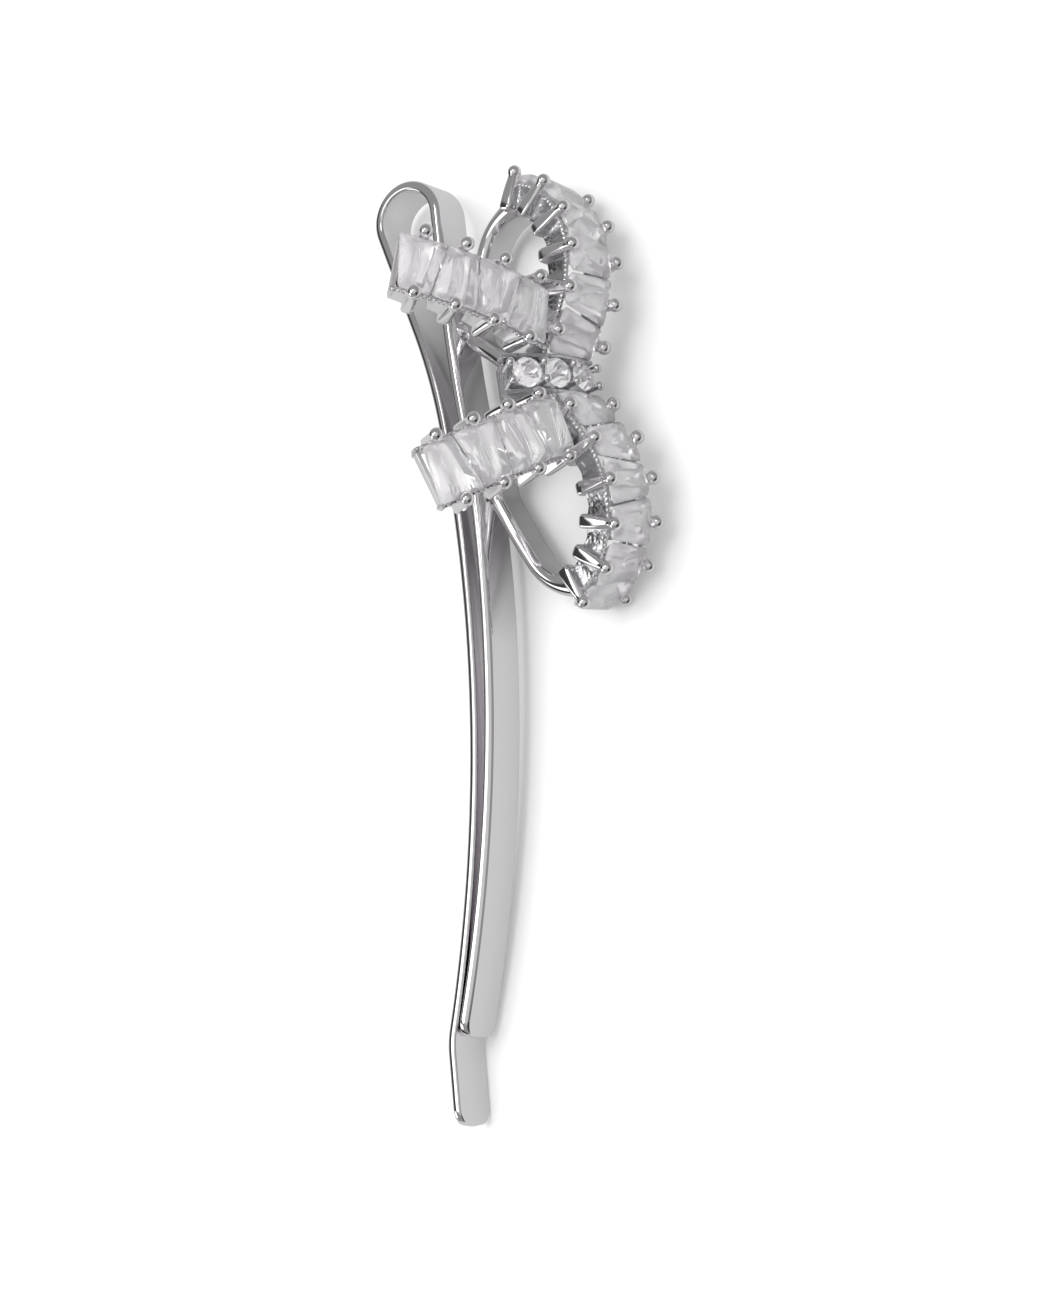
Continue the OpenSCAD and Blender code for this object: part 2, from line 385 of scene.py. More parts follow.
# %% Points beside the line
def at_angle(places, angles, x, y, z):
    """Points from local x outwards, y along the row and z along the stone. places and angles go with the
    rows of the arrays."""
    c, s = np.cos(angles)[:, None], np.sin(angles)[:, None]
    px = places[:, :1] + x * c - y * s
    py = places[:, 1:] + x * s + y * c
    return np.stack([px, py, np.broadcast_to(z, px.shape)], axis=-1)


def at_one_place(place, angle, x, y, z):
    """The same for a small shape that stands at one place of the row."""
    rows = len(x)
    return at_angle(np.repeat([place], rows, axis=0), np.repeat(angle, rows), x, y, z)


outwards = at_one_place((0, 0), stations(LOOP)[1][0], np.ones((1, 1)), 0, 0)
print("a loop's first station points along", outwards.ravel().round(2).tolist())

# %% [markdown]
# A setting wall is a thin cast plate that follows its row. A flat sheet would mirror the room as one even
# patch, so each panel is dished a little, as a casting is, and mirrors it in a curve. The foot of a
# loop's wall rises slightly between two prongs. The foot of a tail's wall is cut away there, which leaves
# a tab beside each prong.

# %% Setting walls
WALL_T = 0.36
WALL_IN = 0.275
WALL_MID = PRONG_SPAN / 2 - WALL_IN
WALL_EDGE = 0.1
WALL_STEPS_PER_PITCH = 32
# With its overhangs, a row is up to this many times as long as from its first to its last station
ROW_REACH = 1.4
DISH = 0.2
# depth and notch: how deep the foot lies, and how much the notch takes off. from and to: the notch is open
# between these shares of the way to the next station. ramp: the share in which it opens and closes.
WALL_FOOT = {
    "loop": {"depth": 2.35, "notch": 0.12, "from": 0.5, "to": 0.5, "ramp": 0.5},
    "tail": {"depth": 2.2, "notch": 1.0, "from": 0.56, "to": 0.8, "ramp": 0.07},
}


def wall_rings(row, kind, side_z):
    """A rounded section along the row. The foot's depth is less by a notch between two prongs, which opens
    and closes along straight ramps. The inner face is straight, and the outer face of each panel is dished
    by a sine."""
    steps = int(WALL_STEPS_PER_PITCH * len(row["turns"]) * ROW_REACH)
    places, angles, number = along_row(row, steps)
    shape = WALL_FOOT[kind]
    share = number % 1
    opened = np.clip((share - shape["from"]) / shape["ramp"] + 1, 0, 1)
    closed = np.clip((shape["to"] - share) / shape["ramp"] + 1, 0, 1)
    foot = shape["depth"] - shape["notch"] * opened * closed
    off_station = np.abs(number - np.round(number)) * 2
    dish = DISH * np.sin(np.pi * off_station / 2)
    half_depth, half_t = (foot - row["top"]) / 2, (WALL_T - dish) / 2
    x, z = rounded_section(half_depth, half_t, WALL_EDGE * (1 - dish / WALL_T))
    x = x - (foot + row["top"])[:, None] / 2
    z = side_z * (WALL_MID + z - dish[:, None] / 2)
    return at_angle(places, angles, x, 0, z)


print("rings along a loop's wall:", len(wall_rings(LOOP, "loop", 1)))

# %% [markdown]
# The upper edge of each wall is a milled rim: a row of tiny notches that sparkle at the girdles of the
# stones. A bump in the material would not break the rim's outline, so the notches are real.

# %% Milled rims
RIM_R = 0.15
RIM_OUT = 0.04
RIM_NOTCH = 0.07
NOTCH_SHARPNESS = 8
NOTCHES_PER_PITCH = 8
RIM_SIDES = 8
RIM_STEPS_PER_NOTCH = 4


def rim_rings(row, side_z):
    """A thin round rim on the wall's upper edge. Its radius is less by a notch wherever a high even power
    of a cosine peaks."""
    count = NOTCHES_PER_PITCH * RIM_STEPS_PER_NOTCH * (len(row["turns"]) + 1)
    places, angles, number = along_row(row, count)
    radius = RIM_R - RIM_NOTCH * np.cos(np.pi * NOTCHES_PER_PITCH * number) ** NOTCH_SHARPNESS
    around = np.linspace(0, 2 * np.pi, RIM_SIDES, endpoint=False)
    x = -row["top"] + radius[:, None] * np.cos(around)
    z = side_z * (WALL_MID + RIM_OUT + radius[:, None] * np.sin(around))
    return at_angle(places, angles, x, 0, z)


print("notches beside each stone:", NOTCHES_PER_PITCH)

# %% [markdown]
# Under the stones, a bar joins the two walls between each pair of stations, and a plate closes the end of
# each row. Both are small blocks with soft edges. Cubes with a Bevel modifier would do, but the rounded
# section is there already: it only has to shrink at both ends.

# %% Bars and end plates
BAR = 0.36
BAR_LIFT = 0.1
END_WALL_T = 0.3
PLATE_TOP = {"loop": 1.3, "tail": 0.75}
BLOCK_EDGE = 0.08
# Where an end's rings lie, as shares of the edge's radius, and how fast the corners shrink with the fall
BLOCK_END = np.array([0, 0.3, 1])
CORNER_SHRINK = 0.9


def block(place, angle, x, y, half_z):
    """A block with rounded edges: a rounded section in x and y, which shrinks near both of its ends along z
    by what a quarter circle takes off there."""
    ends = BLOCK_END * BLOCK_EDGE
    z = np.concatenate([-half_z + ends, half_z - ends[::-1]])
    fall = quarter_fall(half_z - np.abs(z), BLOCK_EDGE)
    half_x, half_y = (x[1] - x[0]) / 2 - fall, (y[1] - y[0]) / 2 - fall
    u, v = rounded_section(half_x, half_y, BLOCK_EDGE - CORNER_SHRINK * fall)
    return at_one_place(place, angle, u + (x[0] + x[1]) / 2, v + (y[0] + y[1]) / 2, z[:, None])


def bars_and_plate(row, kind):
    """A bar halfway between stations, at the walls' feet, and a plate across the row's free end."""
    places, angles = stations(row)
    low = -row["foot"] + BAR_LIFT
    shapes = [
        block(place, angle, (low, low + BAR), (-BAR / 2, BAR / 2), WALL_MID)
        for place, angle in zip((places[:-1] + places[1:]) / 2, (angles[:-1] + angles[1:]) / 2)
    ]
    over = row["over"][1]
    depth, width = (-row["foot"], -PLATE_TOP[kind]), (over - END_WALL_T, over)
    shapes.append(block(places[-1], angles[-1], depth, width, WALL_MID + WALL_T / 2))
    return shapes


print("bars and plates in a loop:", len(bars_and_plate(LOOP, "loop")))

# %% [markdown]
# A prong is a bar whose end is melted into a ball over the stone. The ball is round, and below it the bar
# has flat faces with soft edges: that is why each prong shows one dark or pale face inside a bright
# outline. So its section is the rounded rectangle again, whose corner radius equals the half size in the
# ball and the neck. A sphere on a cylinder would be quicker, but its joint would show.

# %% Prongs
BEAD_R = {"loop": 0.43, "tail": 0.43, "knot": 0.27}
NECK_R = {"loop": 0.34, "tail": 0.34, "knot": 0.2}
PRONG_R = {"loop": 0.44, "tail": 0.37, "knot": 0.22}
PRONG_OUT = {"loop": PRONG_SPAN / 2, "tail": PRONG_SPAN / 2, "knot": 0.56}
PRONG_LENGTH = {"loop": 2.55, "tail": 2.25, "knot": 1.75}
FOOT_EDGE = {"loop": 0.3, "tail": 0.1, "knot": 0.1}
PRONG_CORNER = 0.21
# The ball's first ring, as an angle from its tip, and the share of the foot's quarter circle that is used
BEAD_START = 0.06
FOOT_END = 0.95
BEAD_RINGS, BAR_RINGS, FOOT_RINGS = 12, 9, 5


def prong_shape(place, angle, z, kind):
    """Rings round local x. In the ball the half size is its radius times the sine of an angle from the tip.
    From the neck the half size grows and the corner radius shrinks along half a sine, and the foot closes
    along a quarter circle."""
    bead_r, neck_r, bar_r = BEAD_R[kind], NECK_R[kind], PRONG_R[kind]
    foot_r, length = FOOT_EDGE[kind], PRONG_LENGTH[kind]
    tip = np.linspace(BEAD_START, np.pi - np.arcsin(neck_r / bead_r), BEAD_RINGS)
    neck_x = bead_r * np.cos(tip[-1])
    along = np.linspace(0, 1, BAR_RINGS)[1:]
    swell = np.sin(along * np.pi / 2)
    foot = np.linspace(0, FOOT_END, FOOT_RINGS)[1:] * np.pi / 2
    x = np.concatenate([
        bead_r * np.cos(tip),
        neck_x + (-length + foot_r - neck_x) * along,
        -length + foot_r - foot_r * np.sin(foot),
    ])
    half = np.concatenate([
        bead_r * np.sin(tip),
        neck_r + (bar_r - neck_r) * swell,
        bar_r - foot_r + foot_r * np.cos(foot),
    ])
    corner = np.concatenate([
        bead_r * np.sin(tip),
        neck_r + (PRONG_CORNER - neck_r) * swell,
        np.full(len(foot), PRONG_CORNER),
    ])
    y, out = rounded_section(half, half, np.minimum(corner, half))
    return at_one_place(place, angle, x[:, None], y, z + out)


def prong_shapes(row, kind):
    """A prong at both ends of each station's stone."""
    places, angles = stations(row)
    return [
        prong_shape(place, angle, side_z * PRONG_OUT[kind], kind)
        for side_z in (1, -1)
        for place, angle in zip(places, angles)
    ]


print("prongs in a loop:", len(prong_shapes(LOOP, "loop")))

# %% [markdown]
# Now the two loops and the two tails can be put together. Walls, prongs and rims are pieces of their own,
# because the walls' finish is another one: the wheel polishes what stands out, and misses what lies deep.

# %% The four rows of the bow
WALL_FINISH = {"loop": "cast", "tail": "satin"}
for name, side in SIDES.items():
    for kind, row in (("loop", LOOP), ("tail", TAIL)):
        parts = {
            "walls": [wall_rings(row, kind, z) for z in (1, -1)] + bars_and_plate(row, kind),
            "prongs": prong_shapes(row, kind),
            "rims": [rim_rings(row, z) for z in (1, -1)],
        }
        for part, shapes in parts.items():
            placed = [row["place"](rings, side) for rings in shapes]
            piece = make_piece(f"{name}_{kind}_{part}", placed, "frame")
            pieces[WALL_FINISH[kind] if part == "walls" else "polished"].append(piece)

# %% [markdown]
# A plain band closes each loop: it leaves the last setting, bends round to the front leg and runs back
# under the knot. It is cast, so it is as thick as the wall where it leaves it and thins out from there.
# Its edges are nearly round, so it draws long white lines of light instead of one flat grey face. A
# bevelled curve would be as quick, but its radius changes width and thickness together.

# %% The plain bands
BAND_W = 2.4
BAND_T = 0.95
BAND_FLARE = 0.6
FLARE_LENGTH = 3.6
BAND_ROUND = 0.95
BAND_START = (1.2, 12.27)
BAND_HEADING = 97.5
BAND_BENDS = [(3.7, 60.5), (4.4, 4), (2.3, 70), (5.3, -17.7)]


def band_rings():
    """The thickness is the plain one and a flare that dies away as the square of what is left of its
    length. The corner radius is a set share of half the thickness."""
    line = walk(BAND_BENDS, BAND_START, BAND_HEADING)
    left = np.clip(1 - line[2] / FLARE_LENGTH, 0, 1)
    half_t = (BAND_T + BAND_FLARE * left**2) / 2
    return ribbon(line, half_t, BAND_W / 2, BAND_ROUND * half_t)


for name, side in SIDES.items():
    band = make_piece(f"{name}_plain_band", [in_loop(band_rings(), side)], "frame")
    pieces["polished"].append(band)

# %% [markdown]
# The knot's setting is a small cast block with two low walls and eight small prongs. It follows a short
# row of its own, which runs across the strip, so the functions for lines and prongs serve again. Its
# prongs stand at the stations, and the round stones sit halfway between.

# %% The knot's setting
KNOT_WALL_MID = 1.12
KNOT_WALL_T = 0.26
KNOT_WALL_EDGE = 0.08
KNOT_SKIRT = 0.25
KNOT_SCALLOP = 0.55
KNOT_WALL_STEPS = 120
CORE_HALF_W = 1.15
CORE_TOP = 1.35
CORE_FOOT = 3.4
CORE_EDGE = 0.3
CORE_OVER = (0.1, 0.1)
CORE_STEPS = 60


def knot_wall(side_z):
    """A low wall along the row of round stones. Its foot rises evenly from each station to halfway between
    two."""
    places, angles, number = along_row(KNOT, KNOT_WALL_STEPS)
    off_station = np.abs(number - np.round(number)) * 2
    foot = KNOT["foot"] + KNOT_SKIRT - KNOT_SCALLOP * off_station
    x, z = rounded_section((foot - KNOT["top"]) / 2, KNOT_WALL_T / 2, KNOT_WALL_EDGE)
    x = x - (foot + KNOT["top"])[:, None] / 2
    return at_angle(places, angles, x, 0, side_z * KNOT_WALL_MID + z)


def knot_core():
    """The block under the round stones, along the same row."""
    places, angles, _ = along_row({**KNOT, "over": CORE_OVER}, CORE_STEPS)
    x, z = rounded_section((CORE_FOOT - CORE_TOP) / 2, CORE_HALF_W, CORE_EDGE)
    x = x - (CORE_FOOT + CORE_TOP) / 2
    return at_angle(places, angles, x, 0, np.repeat(z, len(places), axis=0))


knot_walls = [in_knot(rings) for rings in (knot_wall(1), knot_wall(-1), knot_core())]
knot_prongs = [in_knot(rings) for rings in prong_shapes(KNOT, "knot")]
pieces["cast"].append(make_piece("knot_setting", knot_walls, "frame"))
pieces["polished"].append(make_piece("knot_prongs", knot_prongs, "frame"))

# %% [markdown]
# A blob of solder shows on the leg beside each band. Melted metal draws itself round, so it is a ball
# that is sunk into the leg and the band.

# %% Solder
SOLDER_MIDDLE = (-3.7, 5.35, 0.3)
SOLDER_R = 0.65
BALL_ROWS = 16
BALL_COLUMNS = 24
# The angle between a pole and the ring next to it
POLE = 0.02


def ball(middle, radius):
    """A round blob: rings of radius times a sine, at heights of radius times a cosine."""
    down = np.linspace(POLE, np.pi - POLE, BALL_ROWS)[:, None]
    around = np.linspace(0, 2 * np.pi, BALL_COLUMNS, endpoint=False)
    x, y = np.sin(down) * np.cos(around), np.sin(down) * np.sin(around)
    return np.array(middle) + radius * np.stack(np.broadcast_arrays(x, y, np.cos(down)), axis=-1)


solder = [ball(SOLDER_MIDDLE, SOLDER_R) * [1, side, 1] for side in SIDES.values()]
pieces["polished"].append(make_piece("solder", solder, "frame"))

# %% [markdown]
# A baguette is cut in steps: a long table, two steps of crown, a thin girdle, and steps of pavilion that
# close on a keel. Each step is a ring of eight points, because the cutter takes the corners off, and the
# rings shrink towards the table and the keel. The facets are flat, so nothing is smoothed: real facets
# bend the light as a cut stone does, which a bump on a plain block can't.

# %% Baguettes
STONE_LEN = 3.56
STONE_WIDE = 2.93
STONE_NARROW = 1.95
GIRDLE_DROP = 0.45
CORNER_CUT = 0.13
# Steps from the table down: height above the girdle, inset at the ends, share taken off the half width
BAGUETTE_STEPS = np.array([
    (0.55, 0.52, 0.34), (0.44, 0.36, 0.24), (0.26, 0.18, 0.12), (0.04, 0, 0), (-0.04, 0, 0),
    (-0.34, 0.2, 0.24), (-0.68, 0.4, 0.52), (-1.02, 0.6, 0.86),
])


def baguette_rings():
    """Rings of eight points. At a step the half length is the stone's less the end's inset. The half width
    runs evenly from the narrow end to the wide end, and each step keeps its own share of it."""
    height, end_in, share = (column[:, None] for column in BAGUETTE_STEPS.T)
    along = np.array([1, 1, 1, 1, -1, -1, -1, -1])
    across = np.array([1, 1, -1, -1, -1, -1, 1, 1])
    cut_along = CORNER_CUT * np.array([1, 0, 0, 1, 1, 0, 0, 1])
    cut_across = CORNER_CUT * np.array([0, 1, 1, 0, 0, 1, 1, 0])
    z = along * (STONE_LEN / 2 - end_in - cut_along)
    half_w = (STONE_WIDE + STONE_NARROW) / 4 + (STONE_WIDE - STONE_NARROW) / 2 * z / STONE_LEN
    y = across * (half_w - cut_across) * (1 - share)
    return np.broadcast_to(height, y.shape), y, z


def baguette(row, k, wide):
    """A stone at station k, its wide end towards +z or -z."""
    x, y, z = baguette_rings()
    places, angles = stations(row)
    return at_one_place(places[k], angles[k], x - GIRDLE_DROP, y, wide * z)


for name, side in SIDES.items():
    for kind, row in (("loop", LOOP), ("tail", TAIL)):
        count = len(row["turns"]) + 1
        for number in range(1, count + 1):
            wide = 1 if number % 2 == 0 else -1
            rings = row["place"](baguette(row, count - number, wide), side)
            node = f"{name}_{kind}_stone_{number}"
            pieces["stone"].append(make_piece(node + "_cut", [rings], node, smooth=False))

# %% [markdown]
# The knot's stones are round brilliants. Sixteen points go round each ring, and every second one moves in
# or out, which makes the kite-shaped and star-shaped facets. A turned profile, as from Screw or Spin,
# would have only plain rings of facets.

# %% Round stones
ROUND_R = 0.95
ROUND_POINTS = 16
KNOT_STONES = len(KNOT["turns"])
KNOT_GIRDLE_DROP = 0.32
# Rings from the table down: the heights of even and odd points, then their shares of the radius
BRILLIANT = np.array([
    (0.36, 0.36, 0.54, 0.50), (0.24, 0.27, 0.76, 0.70), (0.03, 0.03, 1, 0.985),
    (-0.03, -0.03, 1, 0.985), (-0.36, -0.3, 0.5, 0.62), (-0.82, -0.82, 0.03, 0.03),
])


def brilliant(k):
    """Rings of sixteen points halfway between stations k and k + 1: even and odd points take their own
    height and share of the radius."""
    even = np.arange(ROUND_POINTS) % 2 == 0
    height = np.where(even, BRILLIANT[:, :1], BRILLIANT[:, 1:2])
    radius = ROUND_R * np.where(even, BRILLIANT[:, 2:3], BRILLIANT[:, 3:4])
    around = np.arange(ROUND_POINTS) * 2 * np.pi / ROUND_POINTS
    places, angles = stations(KNOT)
    place, angle = (places[k] + places[k + 1]) / 2, (angles[k] + angles[k + 1]) / 2
    x, y, z = height - KNOT_GIRDLE_DROP, radius * np.cos(around), radius * np.sin(around)
    return at_one_place(place, angle, x, y, z)


for number in range(1, KNOT_STONES + 1):
    node = f"knot_stone_{number}"
    rings = in_knot(brilliant(KNOT_STONES - number))
    pieces["round"].append(make_piece(node + "_cut", [rings], node, smooth=False))

# %% [markdown]
# ## Materials
#
# Plating is never quite even: the buffing wheel leaves faint waves and hairlines, and a cast or satin
# skin has waves that are finer and deeper. One node group gives all of these, as a roughness and a
# normal, and each metal finish uses it with its own values. The waves are only some micrometres deep,
# far too little for the mesh, so a bump is the right tool for them.

# %% Node group for polish marks
WAVE_HEIGHT = 0.0001
HAIR_HEIGHT = 0.00001
# How fast the hairlines' noise changes in a metre: slowly along the strip, and quickly across it
HAIR_STRETCH = (9000, 500, 9000)
ROUGHNESS_SPREAD = (0.7, 1.3)
POLISH_SETTINGS = {"Wave size": 260.0, "Wave depth": 0.1, "Hairline depth": 0.02, "Roughness": 0.06}


def set_inputs(node, **values):
    """Puts values straight on a node's named inputs: an underscore stands for a blank."""
    for name, value in values.items():
        node.inputs[name.replace("_", " ")].default_value = value


def add_node(tree, kind, operation=None, **values):
    """A new node of a tree, with values on its inputs."""
    node = tree.nodes.new("ShaderNode" + kind)
    if operation:
        node.operation = operation
    set_inputs(node, **values)
    return node


def polish_group():
    """Waves from a coarse noise and hairlines from a stretched one: both raise a bump, and the hairlines
    also vary the roughness."""
    group = bpy.data.node_groups.new("polish_marks", "ShaderNodeTree")
    for name, value in POLISH_SETTINGS.items():
        socket = group.interface.new_socket(name=name, in_out="INPUT", socket_type="NodeSocketFloat")
        socket.default_value = value
    group.interface.new_socket(name="Roughness", in_out="OUTPUT", socket_type="NodeSocketFloat")
    group.interface.new_socket(name="Normal", in_out="OUTPUT", socket_type="NodeSocketVector")
    inside, out = group.nodes.new("NodeGroupInput"), group.nodes.new("NodeGroupOutput")
    place = add_node(group, "TexCoord")
    waves = add_node(group, "TexNoise", Detail=1.0)
    stretch = add_node(group, "Mapping", Scale=HAIR_STRETCH)
    hairs = add_node(group, "TexNoise", Scale=1.0)
    wave_bump = add_node(group, "Bump", Distance=WAVE_HEIGHT)
    hair_bump = add_node(group, "Bump", Distance=HAIR_HEIGHT)
    spread = add_node(group, "MapRange", To_Min=ROUGHNESS_SPREAD[0], To_Max=ROUGHNESS_SPREAD[1])
    times = add_node(group, "Math", "MULTIPLY")
    link = group.links.new
    link(place.outputs["Object"], waves.inputs["Vector"])
    link(inside.outputs["Wave size"], waves.inputs["Scale"])
    link(place.outputs["Object"], stretch.inputs["Vector"])
    link(stretch.outputs["Vector"], hairs.inputs["Vector"])
    link(inside.outputs["Wave depth"], wave_bump.inputs["Strength"])
    link(waves.outputs["Fac"], wave_bump.inputs["Height"])
    link(inside.outputs["Hairline depth"], hair_bump.inputs["Strength"])
    link(hairs.outputs["Fac"], hair_bump.inputs["Height"])
    link(wave_bump.outputs["Normal"], hair_bump.inputs["Normal"])
    link(hair_bump.outputs["Normal"], out.inputs["Normal"])
    link(hairs.outputs["Fac"], spread.inputs["Value"])
    link(spread.outputs["Result"], times.inputs[0])
    link(inside.outputs["Roughness"], times.inputs[1])
    link(times.outputs["Value"], out.inputs["Roughness"])
    return group


polish = polish_group()
print("group", polish.name, "has", len(polish.nodes), "nodes")

# %% [markdown]
# The metal has three finishes. The strip, bands, prongs and rims are polished. The wheel can't reach the
# loops' walls and the knot's setting, so they keep the grainy skin of the casting, and they are coloured a
# darker grey. The tails' walls have a soft, pale satin.

# %% Silver-coloured plating
SILVER = (0.865, 0.85, 0.865, 1)
SATIN_SILVER = (0.92, 0.91, 0.92, 1)
# A darker grey than the polished silver, for the loops' walls and the knot's setting
DARK_WALL_GREY = (0.62, 0.62, 0.635, 1)


def plated_material(name, colour, **marks):
    """A metal whose roughness and normal come from the group of polish marks, with this finish's values."""
    material = bpy.data.materials.new(name)
    material.use_nodes = True
    tree = material.node_tree
    shader = tree.nodes["Principled BSDF"]
    set_inputs(shader, Base_Color=colour, Metallic=1.0)
    group = tree.nodes.new("ShaderNodeGroup")
    group.node_tree = polish
    set_inputs(group, **marks)
    tree.links.new(group.outputs["Roughness"], shader.inputs["Roughness"])
    tree.links.new(group.outputs["Normal"], shader.inputs["Normal"])
    return material


def put_on(finish, material):
    """Gives all pieces of one finish their material."""
    for piece in pieces[finish]:
        piece.data.materials.append(material)
    print(material.name, "is on", len(pieces[finish]), "pieces")


put_on("polished", plated_material("polished_plating", SILVER))
put_on("cast", plated_material("cast_plating", DARK_WALL_GREY, Wave_size=3200, Wave_depth=0.35, Roughness=0.2))
satin = plated_material("satin_plating", SATIN_SILVER, Wave_size=2600, Wave_depth=0.15, Roughness=0.38)
put_on("satin", satin)

# %% [markdown]
# The baguettes are milky: most of the light goes through and bends at the facets, and the rest is
# scattered back, tinted faintly lilac in patches. Clear glass would show only the settings below, and a
# white surface would hide the cut. The round stones are clearer and bend the light more.

# %% Milky stone
PALE = (0.99, 0.985, 0.995, 1)
LILAC = (0.985, 0.952, 0.98, 1)
PATCH_SCALE = 230
PATCH_RANGE = (0.4, 0.65)
FACET_ROUGHNESS = 0.02


def stone_material(name, ior, transmission):
    """Part of the light goes through, the rest scatters back. A slow noise over the whole bow tints it."""
    material = bpy.data.materials.new(name)
    material.use_nodes = True
    tree = material.node_tree
    shader = tree.nodes["Principled BSDF"]
    set_inputs(shader, Roughness=FACET_ROUGHNESS, IOR=ior, Transmission_Weight=transmission)
    place = add_node(tree, "TexCoord")
    patches = add_node(tree, "TexNoise", Scale=PATCH_SCALE)
    ramp = add_node(tree, "ValToRGB")
    for element, position, colour in zip(ramp.color_ramp.elements, PATCH_RANGE, (PALE, LILAC)):
        element.position = position
        element.color = colour
    tree.links.new(place.outputs["Object"], patches.inputs["Vector"])
    tree.links.new(patches.outputs["Fac"], ramp.inputs["Fac"])
    tree.links.new(ramp.outputs["Color"], shader.inputs["Base Color"])
    return material


put_on("stone", stone_material("milky_stone", ior=1.8, transmission=0.75))
put_on("round", stone_material("bright_stone", ior=2.15, transmission=0.92))

# %% [markdown]
# ## Floor, light and camera
#
# The slide lies on a pale board in a light tent. A mirror shows its surroundings, so the board and the
# tent are as much a part of the look as the metal. The board is matt white where the camera looks at it.
# For all other rays, such as those that reach it by way of the metal, it has a painted grey and a painted
# glow. The glow is a painted pool of light that fades with the distance from the slide, as on a sheet that
# is lit in its middle alone, and it is painted weaker under the bow, as painted shade where the bow's own
# shade falls.

# %% The board's white, its painted grey and its painted glow
BOARD_WHITE = 0.8
# Painted grey: the board's colour for all rays but the camera's
BOARD_PAINTED_GREY = 0.2
BOARD_ROUGHNESS = 0.6
# Each glow: its middle and its reach in metres, and the two levels that it runs between. The first is a
# painted pool of light round the slide, and the second is painted shade under the bow
PAINTED_GLOW_POOL = ((0, 0, 0), (0.035, 0.09), (0.355, 0.03))
BOW_SHADE = ((-0.001, 0.0125, 0), (0.007, 0.0135), (0.25, 1.0))


def glow_level(tree, place, middle, reach, levels):
    """Runs evenly from one level to the other while the distance from the middle runs through the reach."""
    distance = add_node(tree, "VectorMath", "DISTANCE")
    distance.inputs[1].default_value = middle
    fade = add_node(
        tree, "MapRange", From_Min=reach[0], From_Max=reach[1], To_Min=levels[0], To_Max=levels[1]
    )
    tree.links.new(place.outputs["Object"], distance.inputs[0])
    tree.links.new(distance.outputs["Value"], fade.inputs["Value"])
    return fade.outputs["Result"]


def board_material():
    """Matt white for the camera's rays. For all others it is a painted grey, and its painted glow is the
    product of the two levels."""
    material = bpy.data.materials.new("board_white_and_painted_glow")
    material.use_nodes = True
    tree = material.node_tree
    link = tree.links.new
    matt = tree.nodes["Principled BSDF"]
    set_inputs(matt, Roughness=BOARD_ROUGHNESS, Specular_IOR_Level=0.0, Emission_Color=(1, 1, 1, 1))
    place, path = add_node(tree, "TexCoord"), add_node(tree, "LightPath")
    # Painted glow for all rays but the camera's: a painted pool of light round the slide, times painted
    # shade under the bow
    glow = add_node(tree, "Math", "MULTIPLY")
    link(glow_level(tree, place, *PAINTED_GLOW_POOL), glow.inputs[0])
    link(glow_level(tree, place, *BOW_SHADE), glow.inputs[1])
    # The camera sees the board's white, and all other rays see a painted grey
    white = add_node(tree, "Mix", A=BOARD_PAINTED_GREY, B=BOARD_WHITE)
    strength = add_node(tree, "Mix", B=0)
    link(path.outputs["Is Camera Ray"], white.inputs["Factor"])
    link(path.outputs["Is Camera Ray"], strength.inputs["Factor"])
    link(glow.outputs["Value"], strength.inputs["A"])
    link(white.outputs["Result"], matt.inputs["Base Color"])
    link(strength.outputs["Result"], matt.inputs["Emission Strength"])
    return material


white = board_material()
print("nodes in the board's material:", len(white.node_tree.nodes))

# %% [markdown]
# The board itself is one flat square. It belongs to the stage and isn't part of the slide. It is far
# wider than the picture, so that none of its edges shows there.

# %% The pale board
BOARD = 0.5


def pale_board():
    """One flat square under the slide, with its middle at the origin."""
    mesh = bpy.data.meshes.new("pale_board")
    corners = [(-BOARD, -BOARD, 0), (BOARD, -BOARD, 0), (BOARD, BOARD, 0), (-BOARD, BOARD, 0)]
    mesh.from_pydata(corners, [], [(0, 1, 2, 3)])
    mesh.materials.append(white)
    board = bpy.data.objects.new("pale_board", mesh)
    bpy.context.scene.collection.objects.link(board)


pale_board()
print("the board is", 2 * BOARD, "m wide")

# %% [markdown]
# The tent has no walls of its own. Each white sheet and each dark opening is a card: a round patch of
# directions with a soft edge, mixed into an even grey. A card has no distance, so it looks the same from
# every point and in every other view, where a real lamp or plane would get in the camera's way. The
# sheets draw white lines along the edges, the openings draw the dark outlines, and the spark is the point
# of light on every ball.

# %% The tent's cards
TENT_GREY = 0.3
# Each card: azimuth and height in degrees, inner and outer radius in degrees, light
TENT_CARDS = {
    "side_sheet": (182, 58, 16.2, 18.8, 2.2),
    "side_opening": (168, 18, 20, 26, 0.05),
    "low_opening": (179, 33, 9, 12, 0.05),
    "low_sheet": (199, 14, 13, 18, 1.8),
    "top_sheet": (-30, 75, 20, 40, 0.65),
    "front_opening": (-53, 8, 15, 35, 0.03),
    "spark": (91, 72, 5, 7, 5.0),
}


def direction(azimuth, height):
    """A unit vector towards an azimuth from +x and a height above the floor, both in degrees."""
    a, h = np.radians(azimuth), np.radians(height)
    return (np.cos(h) * np.cos(a), np.cos(h) * np.sin(a), np.sin(h))


def mixed(tree, light, level, factor):
    """Mixes a plain level into the light. The first light is the tent's own grey."""
    mix = add_node(tree, "Mix", A=TENT_GREY, B=level)
    tree.links.new(factor, mix.inputs["Factor"])
    if light:
        tree.links.new(light, mix.inputs["A"])
    return mix.outputs["Result"]


